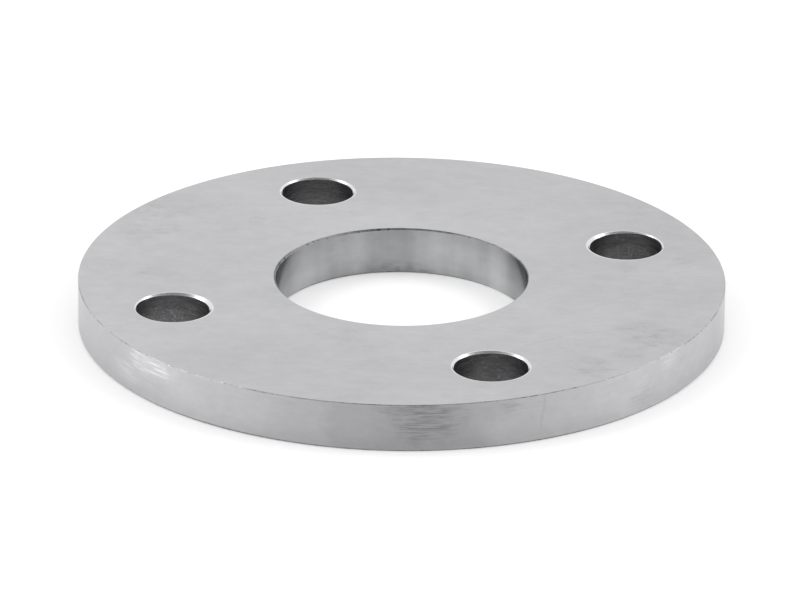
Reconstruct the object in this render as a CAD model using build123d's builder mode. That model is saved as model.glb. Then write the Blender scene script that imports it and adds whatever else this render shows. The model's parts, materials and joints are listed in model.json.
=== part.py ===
from build123d import *
import os

# Round floor flange cut from flat plate, in millimetres.
# A pipe stands in the centre bore and is welded to the plate, and bolts through the
# ring of holes hold the plate down on the floor.
outer_diameter = 127.0
plate_thickness = 9.5
bore_diameter = 49.5

bolt_circle_diameter = 95.25
bolt_hole_diameter = 14.3
bolt_hole_count = 4
first_hole_angle = 45.0

# The edges are broken by hand or with a countersink, so nothing is left sharp.
rim_edge_break = 0.25
bore_chamfer = 0.45
bolt_hole_chamfer = 0.35

with BuildPart() as floor_flange:
    # Plate, with its underside on the floor and the pipe's axis straight up
    with BuildSketch():
        Circle(outer_diameter / 2)
    extrude(amount=plate_thickness)
    chamfer(floor_flange.edges().filter_by(GeomType.CIRCLE), rim_edge_break)

    # Bore for the pipe, eased at both faces
    Hole(bore_diameter / 2)
    bore_rims = floor_flange.edges(Select.LAST).filter_by(GeomType.CIRCLE)
    chamfer(bore_rims, bore_chamfer)

    # Bolt holes, drilled through and lightly countersunk at both faces
    with PolarLocations(bolt_circle_diameter / 2, bolt_hole_count, first_hole_angle):
        Hole(bolt_hole_diameter / 2)
    bolt_hole_rims = floor_flange.edges(Select.LAST).filter_by(GeomType.CIRCLE)
    chamfer(bolt_hole_rims, bolt_hole_chamfer)

floor_flange.part.label = "floor_flange"

os.makedirs("parts", exist_ok=True)
export_step(floor_flange.part, "parts/floor_flange.step")
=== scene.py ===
"""Round floor flange: a satin steel plate with a pipe bore and bolt holes, on white."""

import json
import math

import bmesh
import bpy
from mathutils import Matrix, Vector
from mathutils.geometry import delaunay_2d_cdt


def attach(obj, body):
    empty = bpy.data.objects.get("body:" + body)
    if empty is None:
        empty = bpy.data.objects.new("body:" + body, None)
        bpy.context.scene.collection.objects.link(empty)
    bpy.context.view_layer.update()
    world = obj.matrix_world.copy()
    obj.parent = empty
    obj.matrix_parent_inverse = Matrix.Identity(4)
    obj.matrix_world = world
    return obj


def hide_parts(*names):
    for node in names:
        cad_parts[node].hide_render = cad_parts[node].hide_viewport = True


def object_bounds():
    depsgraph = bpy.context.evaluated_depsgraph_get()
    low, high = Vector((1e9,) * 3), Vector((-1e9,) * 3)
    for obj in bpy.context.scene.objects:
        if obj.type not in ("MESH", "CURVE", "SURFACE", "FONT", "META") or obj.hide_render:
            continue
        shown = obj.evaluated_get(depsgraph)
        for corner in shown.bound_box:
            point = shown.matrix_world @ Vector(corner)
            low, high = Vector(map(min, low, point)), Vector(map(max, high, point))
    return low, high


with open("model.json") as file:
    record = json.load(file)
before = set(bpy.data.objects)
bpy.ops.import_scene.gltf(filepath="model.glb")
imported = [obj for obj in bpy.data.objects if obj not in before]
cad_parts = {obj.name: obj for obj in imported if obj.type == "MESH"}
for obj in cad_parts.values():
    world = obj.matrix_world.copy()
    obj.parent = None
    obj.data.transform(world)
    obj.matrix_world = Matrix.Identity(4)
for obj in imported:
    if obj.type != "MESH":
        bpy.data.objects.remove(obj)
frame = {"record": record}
cad_low, cad_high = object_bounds()

MM = 0.001
NODE = "floor_flange"


# Object helpers


def new_object(name, data):
    made = bpy.data.objects.new(name, data)
    bpy.context.scene.collection.objects.link(made)
    return made


def finished_mesh(name, mesh):
    data = bpy.data.meshes.new(name)
    mesh.to_mesh(data)
    mesh.free()
    return data


# Camera
IMAGE_WIDTH, IMAGE_HEIGHT = 800, 615
AZIMUTH = math.radians(23.82)
ELEVATION = math.radians(22.68)
ROLL = math.radians(0.63)
DISTANCE = 1.418
FOCAL_PIXELS = 7213
OBJECT_PIXEL = (401.6, 298.4)
SENSOR = 36.0
NEAREST, FARTHEST = 0.01, 50

# Level directions to the photograph's right and front, and the one to its camera
to_right = Vector((math.cos(AZIMUTH), math.sin(AZIMUTH), 0))
to_front = Vector((math.sin(AZIMUTH), -math.cos(AZIMUTH), 0))
to_camera = to_front * math.cos(ELEVATION) + Vector((0, 0, math.sin(ELEVATION)))


def aimed(turn, climb):
    """The direction at a turn from the photograph's front and a climb, in degrees."""
    turn, climb = math.radians(turn), math.radians(climb)
    level = to_front * math.cos(turn) + to_right * math.sin(turn)
    return level * math.cos(climb) + Vector((0, 0, math.sin(climb)))


def make_camera():
    data = bpy.data.cameras.new("camera")
    data.sensor_fit = "HORIZONTAL"
    data.sensor_width = SENSOR
    data.lens = FOCAL_PIXELS * SENSOR / IMAGE_WIDTH
    data.shift_x = (IMAGE_WIDTH / 2 - OBJECT_PIXEL[0]) / IMAGE_WIDTH
    data.shift_y = (OBJECT_PIXEL[1] - IMAGE_HEIGHT / 2) / IMAGE_WIDTH
    data.clip_start, data.clip_end = NEAREST, FARTHEST
    camera = new_object("camera", data)
    up = to_camera.cross(to_right)
    right = to_right * math.cos(ROLL) + up * math.sin(ROLL)
    up = to_camera.cross(right)
    turn = Matrix((right, up, to_camera)).transposed().to_4x4()
    middle = (cad_low + cad_high) / 2
    camera.matrix_world = Matrix.Translation(middle + to_camera * DISTANCE) @ turn
    bpy.context.scene.camera = camera


# Node helper


class Nodes:
    """Adds shader nodes to one tree and links them by value."""

    def __init__(self, tree):
        self.tree = tree
        self.tree.nodes.clear()

    def add(self, kind, inputs=None, output=0, **settings):
        node = self.tree.nodes.new("ShaderNode" + kind)
        for name, value in settings.items():
            setattr(node, name, value)
        for key, value in (inputs or {}).items():
            self.put(node.inputs[key], value)
        return node.outputs[output] if node.outputs else node

    def put(self, socket, value):
        if isinstance(value, bpy.types.NodeSocket):
            self.tree.links.new(value, socket)
        else:
            socket.default_value = value

    def math(self, operation, *values, clamp=False):
        return self.add(
            "Math", dict(enumerate(values)), operation=operation, use_clamp=clamp
        )

    def vector(self, operation, *values, output="Vector"):
        return self.add(
            "VectorMath", dict(enumerate(values)), output, operation=operation
        )

    def split(self, vector):
        """The x, y and z of a vector."""
        node = self.tree.nodes.new("ShaderNodeSeparateXYZ")
        self.put(node.inputs[0], vector)
        return node.outputs

    def length(self, x, y):
        return self.math("SQRT", self.total(self.math("MULTIPLY", x, x), (y, y)))

    def turn(self, x, y):
        """The angle of (x, y) from +Y towards +X, in degrees."""
        return self.math("DEGREES", self.math("ARCTAN2", x, y))

    def total(self, first, *terms):
        """first plus each (value, weight) term."""
        result = first
        for value, weight in terms:
            result = self.math("MULTIPLY_ADD", value, weight, result)
        return result

    def ramp(self, value, low, high, out_low=0.0, out_high=1.0):
        """Smooth step from out_low to out_high as value goes from low to high."""
        return self.add(
            "MapRange",
            {0: value, 1: low, 2: high, 3: out_low, 4: out_high},
            interpolation_type="SMOOTHSTEP",
        )

    def noise(self, vector, scale, detail, roughness, shift):
        """Noise with a mean of zero, about -0.5 to 0.5. shift picks its pattern."""
        place = self.vector("ADD", vector, (shift, shift * 0.7, shift * 1.3))
        value = self.add(
            "TexNoise",
            {
                "Vector": place,
                "Scale": scale,
                "Detail": detail,
                "Roughness": roughness,
            },
            normalize=True,
        )
        return self.math("SUBTRACT", value, 0.5)


def new_material(name):
    material = bpy.data.materials.new(name)
    material.use_nodes = True
    return material, Nodes(material.node_tree)


# Steel finishes
STEEL = (1.0, 1.0, 1.022)
COOL_STEEL = (0.994, 1.003, 1.02)


def new_steel(name):
    """A material, its nodes and the point's place in millimetres, turned so that X runs
    across the photograph and Y away from its camera."""
    material, nodes = new_material(name)
    place = nodes.add(
        "Mapping",
        {
            "Vector": nodes.add("TexCoord", output="Object"),
            "Rotation": (0, 0, -AZIMUTH),
            "Scale": (1 / MM, 1 / MM, 1 / MM),
        },
        vector_type="POINT",
    )
    return material, nodes, place


def metal(nodes, level, roughness, height, bump, tint=STEEL, grooves=0.0, grazing=1.0):
    """Finishes a steel material. level is its grey, height its relief in millimetres,
    grooves how much its tool lines draw out its gloss, and grazing how much of that
    gloss is left at a low angle."""
    colour = nodes.add(
        "CombineColor",
        {i: nodes.math("MULTIPLY", level, share) for i, share in enumerate(tint)},
    )
    normal = nodes.add("Bump", {"Strength": bump, "Distance": MM, "Height": height})
    inputs = {
        "Base Color": colour,
        "Metallic": 1.0,
        "Roughness": roughness,
        "Specular Tint": (grazing, grazing, grazing, 1),
        "Normal": normal,
    }
    if grooves:
        inputs["Anisotropic"] = grooves
        inputs["Tangent"] = nodes.add("CombineXYZ", {"X": 0.0, "Y": 0.0, "Z": 1.0})
    nodes.add("OutputMaterial", {"Surface": nodes.add("BsdfPrincipled", inputs)})


# How far out a patch is whole and where it ends, in its own half widths, and how ragged
# it is, and how much of a scratch's half width is whole
PATCH_CORE, PATCH_END, PATCH_RAGGED = 0.4, 1.35, 1.5
SCRATCH_CORE = 0.3


def patches(nodes, along, up, wander, places):
    """Soft, ragged patches. Each is its middle and half width along, the same two up,
    and its share."""
    result = 0.0
    for middle, half_width, height, half_height, share in places:
        across = nodes.math("DIVIDE", nodes.math("SUBTRACT", along, middle), half_width)
        over = nodes.math("DIVIDE", nodes.math("SUBTRACT", up, height), half_height)
        off = nodes.total(nodes.length(across, over), (wander, PATCH_RAGGED))
        patch = nodes.ramp(off, PATCH_END, PATCH_CORE, 0.0, share)
        result = nodes.math("MAXIMUM", result, patch)
    return result


def scratch(nodes, along, up, line, half_width):
    """A thin straight mark on line, (along, up) to (along, up), in the same units."""
    (start_x, start_y), (end_x, end_y) = line
    run, climb = end_x - start_x, end_y - start_y
    square = run * run + climb * climb
    off_x = nodes.math("SUBTRACT", along, start_x)
    off_y = nodes.math("SUBTRACT", up, start_y)
    part = nodes.total(
        nodes.math("MULTIPLY", off_x, run / square), (off_y, climb / square)
    )
    part = nodes.math("MAXIMUM", nodes.math("MINIMUM", part, 1.0), 0.0)
    off = nodes.length(
        nodes.total(off_x, (part, -run)), nodes.total(off_y, (part, -climb))
    )
    return nodes.ramp(off, half_width, half_width * SCRATCH_CORE)


def wall_lines(nodes, place, length, width, shift, detail=3):
    """Tool lines round the plate's axis, with a length and width in millimetres."""
    drawn_out = nodes.vector("DIVIDE", place, (length, length, width))
    return nodes.noise(drawn_out, 1.0, detail, 0.6, shift)


# Where the face is stained, as patches() reads it, and scratched, as scratch() does:
# millimetres across the photograph and away from its camera, from the plate's axis
STAINED = (
    (49, 6.0, -30, 5.0, 1.0),
    (45, 4.0, -24, 3.5, 0.6),
    (36.5, 4.5, -44, 4.0, 0.8),
    (44, 3.5, -37, 2.5, 0.6),
    (-48.5, 7.0, 34, 6.5, 0.7),
    (-47, 3.5, 23, 3.5, 0.8),
    (-53, 3.5, 21.5, 4.5, 0.7),
    (-29, 1.8, 28.5, 2.6, 1.0),
    (-35, 2.4, 23.5, 1.8, 0.6),
    (-48, 4.5, 0.5, 3.0, 0.6),
    (44.5, 2.2, 5.0, 3.0, 0.6),
    (55.5, 3.0, 8.0, 2.5, 0.6),
)
SCRATCHED = (((24.4, -34.0), (31.5, -29.0)), ((31.5, -29.0), (45.5, -24.6)))
SCRATCH_HALF_WIDTH = 0.45


def face_material():
    material, nodes, place = new_steel("satin_face")
    across, away, _ = nodes.split(place)
    flat = nodes.vector("MULTIPLY", place, (0.6, 1.0, 1.0))
    brushed = nodes.vector("MULTIPLY", place, (0.22, 2.2, 1.0))
    hair = nodes.vector("MULTIPLY", place, (0.07, 1.6, 1.0))
    # Painted light and shade: the face is painted paler towards its left, darker towards
    # its rim, and a little darker to the right by the across term.
    painted_pale_left = nodes.ramp(across, -38, -60)
    painted_rim_shade = nodes.ramp(nodes.vector("LENGTH", place, output="Value"), 30, 56)
    clouds = nodes.noise(flat, 0.05, 3, 0.6, 3.1)
    smudges = nodes.noise(flat, 0.34, 5, 0.72, 11.7)
    streaks = nodes.noise(brushed, 0.9, 3, 0.6, 5.3)
    hairlines = nodes.ramp(nodes.noise(hair, 1.0, 1, 0.5, 14.2), 0.17, 0.27)
    grain = nodes.noise(place, 2.6, 2, 0.6, 1.9)
    placed = patches(nodes, across, away, smudges, STAINED)
    scattered = nodes.ramp(nodes.noise(flat, 0.085, 3, 0.6, 8.2), 0.03, 0.16, 0.0, 0.5)
    mottled = nodes.ramp(nodes.noise(flat, 0.75, 4, 0.7, 4.4), -0.06, 0.16)
    stains = nodes.math("MULTIPLY", nodes.math("MAXIMUM", scattered, placed), mottled)
    wavy_across = nodes.total(across, (smudges, 1.5))
    scratches = 0.0
    for line in SCRATCHED:
        mark = scratch(nodes, wavy_across, away, line, SCRATCH_HALF_WIDTH)
        scratches = nodes.math("MAXIMUM", scratches, mark)
    level = nodes.total(
        0.589,
        (across, -0.0002),
        (painted_pale_left, 0.012),
        (painted_rim_shade, -0.017),
        (clouds, 0.12),
        (smudges, 0.19),
        (placed, -0.02),
        (stains, -0.055),
        (scratches, -0.035),
        (streaks, 0.06),
        (hairlines, -0.025),
        (grain, 0.05),
    )
    roughness = nodes.total(0.43, (smudges, 0.16), (stains, 0.06), (streaks, 0.10))
    height = nodes.total(nodes.math("MULTIPLY", grain, 0.02), (streaks, 0.02))
    metal(nodes, level, roughness, height, bump=0.35)
    return material


# The lip, a narrow flat ring of the face round each bolt hole, is painted much paler than
# the face: a painted highlight along the holes' edges, with rubbed texture on it.
def lip_material():
    material, nodes, place = new_steel("lip_painted_highlight")
    rubs = nodes.noise(place, 0.45, 3, 0.6, 5.8)
    level = nodes.total(0.84, (rubs, 0.16))
    roughness = nodes.total(0.38, (rubs, 0.12))
    metal(nodes, level, roughness, nodes.math("MULTIPLY", rubs, 0.01), bump=0.3)
    return material


# Where the rim is scored dark, rubbed bright and painted darker, as patches() reads it,
# and scratched upright, as scratch() does: degrees from the photograph's front and
# millimetres above the floor. The first darker patch, down the rim's front, is painted
# shade; the others are plain darker patches.
SCORED = (
    (3.5, 6.0, 8.2, 1.4, 1.0),
    (4.5, 5.5, 5.2, 3.6, 0.85),
    (19, 2.2, 7.8, 1.0, 0.5),
    (47, 3.0, 3.5, 1.8, 0.4),
    (-21, 2.4, 8.2, 0.6, 0.35),
    (104, 5.0, 5.2, 2.6, 0.5),
    (-122, 6.0, 4.0, 2.4, 0.4),
    (168, 4.0, 6.5, 2.0, 0.5),
)
RUBBED = (
    (-49.5, 6.5, 7.8, 2.6, 1.0),
    (-56, 4.0, 4.0, 2.4, 0.4),
    (54, 2.4, 8.0, 1.6, 0.4),
    (138, 6.0, 7.6, 2.2, 0.45),
    (-95, 4.0, 3.0, 2.0, 0.35),
    (-160, 5.0, 8.2, 1.6, 0.4),
)
# Painted darker patches: the first, the rim's full height at its front, is painted shade.
DARKENED_PATCHES = (
    (-8.5, 5.0, 5.0, 12.0, 1.0),
    (17, 3.0, 8.0, 3.0, 0.8),
    (75, 6.0, 4.0, 8.0, 0.5),
    (-140, 7.0, 5.0, 9.0, 0.6),
)
UPRIGHT = ((25.6, 9.4), (24.8, 3.0))
UPRIGHT_HALF_WIDTH = 0.35


def rim_material():
    material, nodes, place = new_steel("turned_rim")
    x, y, z = nodes.split(place)
    turn = nodes.turn(x, nodes.math("MULTIPLY", y, -1.0))
    lines = wall_lines(nodes, place, 7.0, 0.22, 2.2)
    scratches = wall_lines(nodes, place, 6.0, 0.24, 17.3, detail=2)
    hairs = wall_lines(nodes, place, 5.0, 0.2, 9.1, detail=1)
    smudges = wall_lines(nodes, place, 2.6, 1.6, 3.3, detail=4)
    bands = wall_lines(nodes, place, 9.0, 12.0, 4.9)
    # Painted shade: the rim is painted darker towards its bottom edge.
    painted_foot_shade = nodes.ramp(z, 4.5, 0.4)
    scored = patches(nodes, turn, z, smudges, SCORED)
    rubbed = patches(nodes, turn, z, smudges, RUBBED)
    darkened = patches(nodes, turn, z, smudges, DARKENED_PATCHES)
    ticks = nodes.math("MULTIPLY", nodes.ramp(scratches, 0.2, 0.3), 0.3)
    dark_marks = nodes.math("MULTIPLY", nodes.ramp(scratches, 0.0, 0.12), scored)
    dark_marks = nodes.math("MAXIMUM", dark_marks, ticks)
    bright_marks = nodes.math("MULTIPLY", nodes.ramp(scratches, 0.04, -0.14), rubbed)
    hairs = nodes.math("MULTIPLY", nodes.ramp(hairs, 0.0, 0.12), scored)
    wavy_turn = nodes.total(turn, (smudges, 1.6))
    upright = scratch(nodes, wavy_turn, z, UPRIGHT, UPRIGHT_HALF_WIDTH)
    level = nodes.total(
        0.53,
        (upright, -0.045),
        (lines, 0.10),
        (smudges, 0.12),
        (bands, 0.10),
        (painted_foot_shade, -0.02),
        (darkened, -0.05),
        (scored, -0.035),
        (dark_marks, -0.155),
        (hairs, -0.10),
        (rubbed, 0.08),
        (bright_marks, 0.18),
    )
    roughness = nodes.total(
        0.43, (lines, 0.12), (smudges, 0.12), (bands, 0.06), (bright_marks, -0.08)
    )
    height = nodes.total(
        nodes.math("MULTIPLY", lines, 0.04), (dark_marks, -0.02), (bright_marks, 0.02)
    )
    metal(nodes, level, roughness, height, bump=0.4, grooves=0.85)
    return material


# Broad upright bands of painted reflection and shade round the bore's wall: (angle, half
# angle, softness, gain), in degrees from the photograph's back
PAINTED_BORE_BANDS = (
    (-5.5, 11, 6, -0.052),
    (26.5, 14, 3.5, 0.045),
    (50, 6, 5, 0.09),
    (-20, 3, 2, 0.02),
    (-54, 7, 5, 0.05),
    (100, 10.5, 8.5, -0.04),
    (148, 15, 12, 0.05),
    (-110, 12.5, 10, 0.04),
    (-152, 8.5, 7, -0.04),
)


def bore_material():
    material, nodes, place = new_steel("bored_wall")
    x, y, z = nodes.split(place)
    turn = nodes.turn(x, y)
    side = nodes.math("ABSOLUTE", turn)
    stripes = wall_lines(nodes, place, 3.0, 20.0, 3.8, detail=2)
    smudges = wall_lines(nodes, place, 2.4, 1.8, 9.3, detail=4)
    lines = wall_lines(nodes, place, 8.0, 0.35, 1.4)
    # Painted light and shade: the wall is painted darker near its top, more so on the
    # right, and paler low down towards its ends.
    painted_top_shade = nodes.ramp(z, 5.5, 9.0)
    painted_right_top_shade = nodes.math("MULTIPLY", painted_top_shade, nodes.ramp(turn, 14.32, 28.65))
    painted_low_end_light = nodes.math(
        "MULTIPLY", nodes.ramp(side, 31.51, 48.70), nodes.ramp(z, 6.0, 2.0)
    )
    scuffed = nodes.math(
        "MULTIPLY", nodes.ramp(z, 3.2, 0.4), nodes.ramp(side, 20.63, 6.88)
    )
    scuffs = nodes.ramp(wall_lines(nodes, place, 2.6, 1.2, 6.6), -0.12, 0.16)
    scuffs = nodes.math("MULTIPLY", scuffed, scuffs)
    # The wall's grey is set darker than the rim's: painted shade down the bore.
    level = nodes.total(
        0.358,
        (stripes, 0.12),
        (smudges, 0.10),
        (lines, 0.05),
        (painted_top_shade, -0.03),
        (painted_right_top_shade, -0.035),
        (painted_low_end_light, 0.10),
        (scuffs, -0.11),
    )
    # Painted reflection and shade bands round the wall
    for angle, half_angle, softness, gain in PAINTED_BORE_BANDS:
        off = nodes.math("ABSOLUTE", nodes.math("SUBTRACT", turn, angle))
        band = nodes.ramp(off, half_angle + softness, half_angle - softness)
        level = nodes.total(level, (band, gain))
    roughness = nodes.total(0.20, (stripes, 0.10), (smudges, 0.08), (lines, 0.06))
    height = nodes.math("MULTIPLY", lines, 0.03)
    metal(
        nodes,
        level,
        roughness,
        height,
        bump=0.35,
        tint=COOL_STEEL,
        grooves=0.7,
        grazing=0.6,
    )
    return material


def drilled_material():
    """The bolt holes' walls. The one on the photograph's left is drilled roughest."""
    material, nodes, place = new_steel("drilled_wall")
    across, _, z = nodes.split(place)
    drawn_out = nodes.vector("MULTIPLY", place, (0.3, 0.3, 2.4))
    rings = nodes.noise(drawn_out, 1.0, 3, 0.7, 7.7)
    specks = nodes.ramp(nodes.noise(place, 1.7, 2, 0.6, 2.8), 0.1, 0.22)
    grains = nodes.ramp(nodes.noise(place, 2.6, 2, 0.7, 6.9), -0.02, 0.2)
    grains = nodes.math("MULTIPLY", grains, nodes.ramp(z, 8.2, 6.2))
    left_hole = nodes.ramp(across, -28, -34)
    rough_left = nodes.math("MULTIPLY", grains, left_hole)
    # The walls' grey is painted dark: painted shade down inside the holes.
    level = nodes.total(
        0.20,
        (rings, 0.34),
        (specks, 0.12),
        (grains, 0.06),
        (left_hole, 0.045),
        (rough_left, 0.12),
    )
    roughness = nodes.total(0.42, (rings, 0.2))
    height = nodes.math("MULTIPLY", rings, 0.06)
    metal(nodes, level, roughness, height, bump=0.5, grazing=0.4)
    return material


def eased_material(name, grey, nicked, worn):
    """A filed edge of a grey level, with what its nicks and its worn stretches add."""
    material, nodes, place = new_steel(name)
    rubs = nodes.noise(place, 0.5, 3, 0.6, 6.1)
    spots = nodes.noise(place, 1.5, 2, 0.6, 3.7)
    nicks = nodes.ramp(spots, 0.15, 0.25)
    pits = nodes.ramp(spots, -0.04, -0.16)
    stretches = nodes.ramp(nodes.noise(place, 0.12, 2, 0.6, 7.3), -0.06, 0.1)
    level = nodes.total(
        grey, (rubs, 0.22), (nicks, nicked), (pits, -0.18), (stretches, worn)
    )
    roughness = nodes.total(0.5, (rubs, 0.2), (nicks, -0.1))
    metal(nodes, level, roughness, nodes.math("MULTIPLY", rubs, 0.03), bump=0.4)
    return material


def cut_material():
    material, nodes, place = new_steel("cut_edge")
    chatter = nodes.noise(place, 1.1, 3, 0.6, 9.9)
    level = nodes.total(0.80, (chatter, 0.12))
    roughness = nodes.total(0.26, (chatter, 0.12))
    metal(nodes, level, roughness, nodes.math("MULTIPLY", chatter, 0.02), bump=0.3)
    return material


# The plate
mounts = {m["name"]: m for m in frame["record"]["mounts"]}
OUTER_RADIUS = (cad_high.x - cad_low.x) / 2
THICKNESS = cad_high.z - cad_low.z
BORE_RADIUS = mounts["bore"]["dims"]["r_mm"] * MM
PATTERN = mounts["bolt_circle"]["dims"]
HOLE_RADIUS = PATTERN["hole_r_mm"] * MM
PATTERN_RADIUS = PATTERN["pcd_mm"] / 2 * MM
FIRST_HOLE = math.radians(45)

RIM_BREAK = 0.15 * MM
RIM_FOOT = 0.3 * MM
BORE_CHAMFER = 0.30 * MM
HOLE_CHAMFER = 0.35 * MM
HOLE_LIP = 0.2 * MM

# How much each edge's cut wanders in width and leans to one side, as a share of it
RIM_WANDER, BORE_WANDER, HOLE_WANDER = 0.15, 0.06, 0.08
BORE_LEAN = 0.4
HOLE_LEANS = (0.45, 0.15, 0.45, 0.1)
SLOW_WAVES, SLOW_START = 3, 1.3
QUICK_WAVES, QUICK_START, QUICK_SHARE = 7, 900, 0.6

INWARD, OUTWARD = -1, 1
RIM_STEPS, BORE_STEPS, HOLE_STEPS = 480, 288, 144
FACE, LIP, RIM, BORE, DRILLED, RIM_EDGE, BORE_EDGE, CUT = range(8)

# For the faces' triangulation: the rim's place among the loops, the plain kind of
# output, and how close points are taken as one
RIM_LOOP = 0
ALL_TRIANGLES = 0
SAME_POINT = 1e-9


def wandering(angle, radius):
    """A slow wave round an edge, and a quick one whose start goes by the radius."""
    slow = math.sin(SLOW_WAVES * angle + SLOW_START)
    quick = math.sin(QUICK_WAVES * angle + radius * QUICK_START)
    return slow + QUICK_SHARE * quick


def loop(centre, radius, way, steps, rings, walls, wander, lean=0.0, lean_to=0.0):
    """One round edge of the plate, from its top face to its underside. Each ring is
    (how far its cut goes into the plate from the wall, how far from the face, is it at
    the top face), and walls are the materials between them. way says on which side of
    the wall the plate lies. The cuts' width wanders, and is wider towards lean_to, as
    hand work leaves it."""
    made = [[] for _ in rings]
    for i in range(steps):
        angle = 2 * math.pi * i / steps
        share = 1 + wander * wandering(angle, radius) + lean * math.cos(angle - lean_to)
        for points, (out, down, on_top) in zip(made, rings):
            reach = radius + way * out * share
            x = centre[0] + reach * math.cos(angle)
            y = centre[1] + reach * math.sin(angle)
            z = THICKNESS - down * share if on_top else down * share
            points.append((x, y, z))
    return {"rings": made, "way": way, "walls": walls}


def plate_loops():
    """The rim, the bore and the bolt holes. The bore's cut is widest on the left of the
    photograph, and each bolt hole's towards the plate's axis."""
    rim_rings = (
        (RIM_BREAK, 0, True),
        (0, RIM_BREAK, True),
        (0, RIM_FOOT, False),
        (RIM_FOOT, 0, False),
    )
    # The rim's bottom break takes the darker bore edge grey: a painted shadow line where
    # the plate meets the floor.
    rim_walls = (RIM_EDGE, RIM, BORE_EDGE)
    bore_rings = (
        (BORE_CHAMFER, 0, True),
        (0, BORE_CHAMFER, True),
        (0, BORE_CHAMFER, False),
        (BORE_CHAMFER, 0, False),
    )
    bore_walls = (BORE_EDGE, BORE, BORE_EDGE)
    hole_rings = (
        (HOLE_CHAMFER + HOLE_LIP, 0, True),
        (HOLE_CHAMFER, 0, True),
        (0, HOLE_CHAMFER, True),
        (0, HOLE_CHAMFER, False),
        (HOLE_CHAMFER, 0, False),
    )
    hole_walls = (LIP, CUT, DRILLED, CUT)
    axis = (0, 0)
    rim = loop(axis, OUTER_RADIUS, INWARD, RIM_STEPS, rim_rings, rim_walls, RIM_WANDER)
    bore = loop(
        axis,
        BORE_RADIUS,
        OUTWARD,
        BORE_STEPS,
        bore_rings,
        bore_walls,
        BORE_WANDER,
        lean=BORE_LEAN,
        lean_to=AZIMUTH + math.pi,
    )
    loops = [rim, bore]
    for number, lean in zip(range(PATTERN["count"]), HOLE_LEANS):
        angle = FIRST_HOLE + 2 * math.pi * number / PATTERN["count"]
        loops.append(
            loop(
                (PATTERN_RADIUS * math.cos(angle), PATTERN_RADIUS * math.sin(angle)),
                HOLE_RADIUS,
                OUTWARD,
                HOLE_STEPS,
                hole_rings,
                hole_walls,
                HOLE_WANDER,
                lean=lean,
                lean_to=angle + math.pi,
            )
        )
    return loops


def face_triangles(loops, ring):
    """Triangles that fill the plate's face between its rim and its holes."""
    points, edges, owner = [], [], []
    for number, one in enumerate(loops):
        start = len(points)
        count = len(one["rings"][ring])
        points += [Vector(p[:2]) for p in one["rings"][ring]]
        edges += [(start + i, start + (i + 1) % count) for i in range(count)]
        owner += [number] * count
    triangles = delaunay_2d_cdt(points, edges, [], ALL_TRIANGLES, SAME_POINT)[2]
    kept = []
    for triangle in triangles:
        owners = {owner[i] for i in triangle}
        # With all its corners on one loop, a triangle fills a hole, except at the rim
        if len(owners) > 1 or owners == {RIM_LOOP}:
            kept.append(triangle)
    return kept


def make_plate():
    loops = plate_loops()
    mesh = bmesh.new()
    rings = [
        [[mesh.verts.new(point) for point in ring] for ring in one["rings"]]
        for one in loops
    ]
    for ring, upward in ((0, True), (-1, False)):
        verts = [v for one in rings for v in one[ring]]
        for triangle in face_triangles(loops, ring):
            face = mesh.faces.new([verts[i] for i in triangle])
            face.normal_update()
            if (face.normal.z > 0) != upward:
                face.normal_flip()
            face.material_index = FACE
    for one, made in zip(loops, rings):
        count = len(made[0])
        for upper, lower, material in zip(made, made[1:], one["walls"]):
            for i in range(count):
                j = (i + 1) % count
                corners = [upper[i], lower[i], lower[j], upper[j]]
                if one["way"] == OUTWARD:
                    corners.reverse()
                face = mesh.faces.new(corners)
                face.material_index = material
                face.smooth = True
        for ring in made:
            for i in range(count):
                mesh.edges.get((ring[i], ring[(i + 1) % count])).smooth = False
    data = finished_mesh("flange_plate", mesh)
    for material in (
        face_material(),
        lip_material(),
        rim_material(),
        bore_material(),
        drilled_material(),
        # The filed edges' greys are painted darker than the steel: painted shade lines
        # along the rim's top edge and, with the darker grey, along the bore's chamfers and
        # as a painted contact shadow along the rim's bottom edge.
        eased_material("eased_rim_painted_shade", grey=0.40, nicked=0.26, worn=0.13),
        eased_material("eased_edge_painted_shade", grey=0.25, nicked=0.12, worn=0.03),
        cut_material(),
    ):
        data.materials.append(material)
    plate = new_object("flange_plate", data)
    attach(plate, "root")
    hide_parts(NODE)


# Studio
FLOOR_RADIUS, FLOOR_STEPS = 12, 96
FLOOR_DROP = 0.05 * MM
FLOOR_GREY = 0.72
FLOOR_LIFT = 0.25
WORLD_STRENGTH = 0.95

SOFTBOX_REACH = 1.2
SOFTBOX_SIZE = 0.7
SOFTBOX_POWER = 4


def make_floor():
    """A pale floor, lifted to white for the camera, for gloss and for what is seen
    through. It keeps the plate's shadow."""
    mesh = bmesh.new()
    bmesh.ops.create_circle(
        mesh, cap_ends=True, segments=FLOOR_STEPS, radius=FLOOR_RADIUS
    )
    data = finished_mesh("studio_floor", mesh)
    floor = new_object("studio_floor", data)
    floor.location.z = -FLOOR_DROP
    material, nodes = new_material("white_floor")
    paths = nodes.tree.nodes.new("ShaderNodeLightPath").outputs
    seen = nodes.math(
        "ADD",
        nodes.math("ADD", paths["Is Camera Ray"], paths["Is Glossy Ray"]),
        paths["Is Transmission Ray"],
        clamp=True,
    )
    grey = (FLOOR_GREY, FLOOR_GREY, FLOOR_GREY, 1)
    diffuse = nodes.add("BsdfDiffuse", {"Color": grey})
    lift = nodes.add(
        "Emission",
        {"Color": (1, 1, 1, 1), "Strength": nodes.math("MULTIPLY", seen, FLOOR_LIFT)},
    )
    both = nodes.add("AddShader", {0: diffuse, 1: lift})
    nodes.add("OutputMaterial", {"Surface": both})
    data.materials.append(material)


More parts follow.
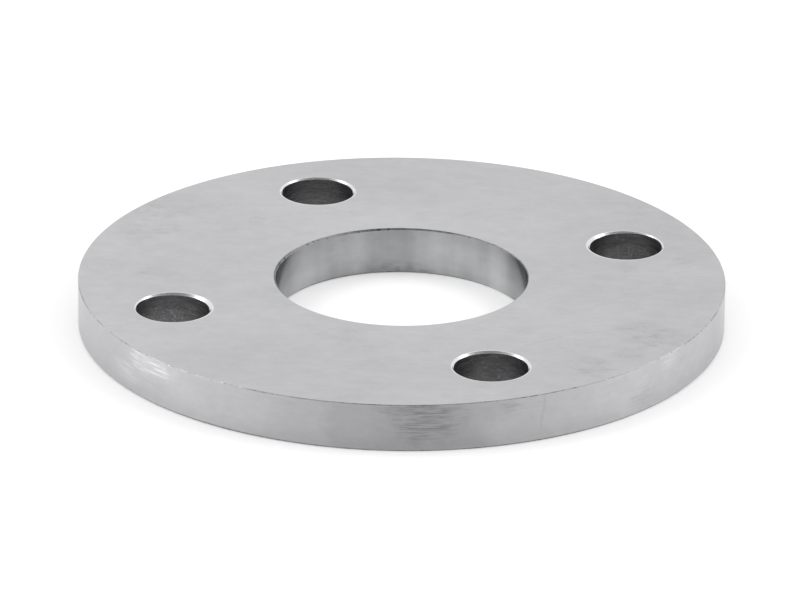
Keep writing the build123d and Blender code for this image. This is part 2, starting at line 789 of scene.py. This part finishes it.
def make_world():
    world = bpy.data.worlds.new("white_tent")
    world.use_nodes = True
    nodes = Nodes(world.node_tree)
    sky = nodes.add("Background", {"Color": (1, 1, 1, 1), "Strength": WORLD_STRENGTH})
    nodes.add("OutputWorld", {"Surface": sky})
    bpy.context.scene.world = world


def make_softbox(name, side):
    """A square softbox, up to one side of the object and aimed at it."""
    light = bpy.data.lights.new(name, "AREA")
    light.shape = "SQUARE"
    light.size = SOFTBOX_SIZE
    light.energy = SOFTBOX_POWER
    box = new_object(name, light)
    away = (to_right * side + Vector((0, 0, 1))).normalized()
    box.location = away * SOFTBOX_REACH
    box.rotation_euler = away.to_track_quat("Z", "Y").to_euler()
    box.visible_camera = False


# The dark side of the studio, at the photograph's front: a card stands there and a mat
# lies before the plate. Their share of clear is 1 at both ends and changes in soft
# steps between them: (turn in degrees, change).
CARD_GREY = 0.03
CARD_REACH, CARD_TOP = 0.9, 60
MAT_NEAR, MAT_FAR = OUTER_RADIUS + 0.5 * MM, 0.85
MAT_LIFT = 0.1 * MM
DARK_HALF_TURN = 62
DARK_STEPS = ((-25, -0.14), (-5, -0.19), (16.5, 0.24), (41, 0.09))
DARK_SOFTNESS = 2.5
DARK_GRID = (32, 32)

# The dark canopy over the camera, laid out by the turn and climb, in degrees, of the
# broken edges that mirror it. (turn, share of clear) where it is thinnest and densest,
# and the turns between which it fades out.
CANOPY_REACH = 0.8
CANOPY_HALF_TURN = 56
CANOPY_LOW, CANOPY_HIGH = 26, 64
CANOPY_THIN, CANOPY_DENSE = (12, 0.26), (26, 0.08)
CANOPY_FADE, CANOPY_END = 32, 48
CANOPY_GRID = (24, 8)


def studio_turn(nodes, direction):
    """The turn of a direction from the photograph's front to its right, in degrees."""
    side, front = [
        nodes.vector("DOT_PRODUCT", direction, tuple(axis), output="Value")
        for axis in (to_right, to_front)
    ]
    return nodes.turn(side, front)


def dark_and_clear(nodes, clear):
    """Finishes a card's material: near black, and see-through by the share of clear."""
    dark = nodes.add("BsdfDiffuse", {"Color": (CARD_GREY, CARD_GREY, CARD_GREY, 1)})
    through = nodes.add("BsdfTransparent")
    mixed = nodes.add("MixShader", {0: clear, 1: dark, 2: through})
    nodes.add("OutputMaterial", {"Surface": mixed})


def dark_side_material():
    material, nodes = new_material("dark_side")
    turn = studio_turn(nodes, nodes.add("TexCoord", output="Object"))
    clear = 1.0
    for edge, change in DARK_STEPS:
        past = nodes.ramp(turn, edge - DARK_SOFTNESS, edge + DARK_SOFTNESS)
        clear = nodes.total(clear, (past, change))
    dark_and_clear(nodes, clear)
    return material


def canopy_material():
    """Placed by the turn of the edge that mirrors each point of the canopy."""
    material, nodes = new_material("dark_canopy")
    place = nodes.vector("NORMALIZE", nodes.add("TexCoord", output="Object"))
    mirror = nodes.vector("ADD", place, tuple(to_camera))
    turn = nodes.math("ABSOLUTE", studio_turn(nodes, mirror))
    clear = nodes.ramp(
        turn, CANOPY_THIN[0], CANOPY_DENSE[0], CANOPY_THIN[1], CANOPY_DENSE[1]
    )
    clear = nodes.total(clear, (nodes.ramp(turn, CANOPY_FADE, CANOPY_END), 1.0))
    dark_and_clear(nodes, clear)
    return material


def make_card(name, point, grid, material):
    """A curved card through point(u, v), for u and v from 0 to 1. It stays out of the
    picture and off the floor, for the metal alone to mirror."""
    columns, rows = grid
    mesh = bmesh.new()
    lines = [
        [mesh.verts.new(point(i / columns, j / rows)) for j in range(rows + 1)]
        for i in range(columns + 1)
    ]
    for left, right in zip(lines, lines[1:]):
        for j in range(rows):
            mesh.faces.new([left[j], right[j], right[j + 1], left[j + 1]])
    data = finished_mesh(name, mesh)
    data.materials.append(material)
    card = new_object(name, data)
    card.visible_camera = False
    card.visible_diffuse = False
    card.visible_shadow = False


def card_point(u, v):
    return aimed(DARK_HALF_TURN * (2 * u - 1), CARD_TOP * v) * CARD_REACH


def mat_point(u, v):
    reach = MAT_NEAR + (MAT_FAR - MAT_NEAR) * v
    return aimed(DARK_HALF_TURN * (2 * u - 1), 0) * reach + Vector((0, 0, MAT_LIFT))


def canopy_point(u, v):
    climb = CANOPY_LOW + (CANOPY_HIGH - CANOPY_LOW) * v
    normal = aimed(CANOPY_HALF_TURN * (2 * u - 1), climb)
    mirrored = 2 * normal.dot(to_camera) * normal - to_camera
    return mirrored * CANOPY_REACH


make_camera()
make_plate()
make_floor()
make_world()
make_softbox("softbox_left", -1)
make_softbox("softbox_right", 1)
dark_side = dark_side_material()
make_card("dark_card", card_point, DARK_GRID, dark_side)
make_card("dark_mat", mat_point, DARK_GRID, dark_side)
make_card("dark_canopy", canopy_point, CANOPY_GRID, canopy_material())

bpy.context.scene.view_settings.view_transform = "Standard"
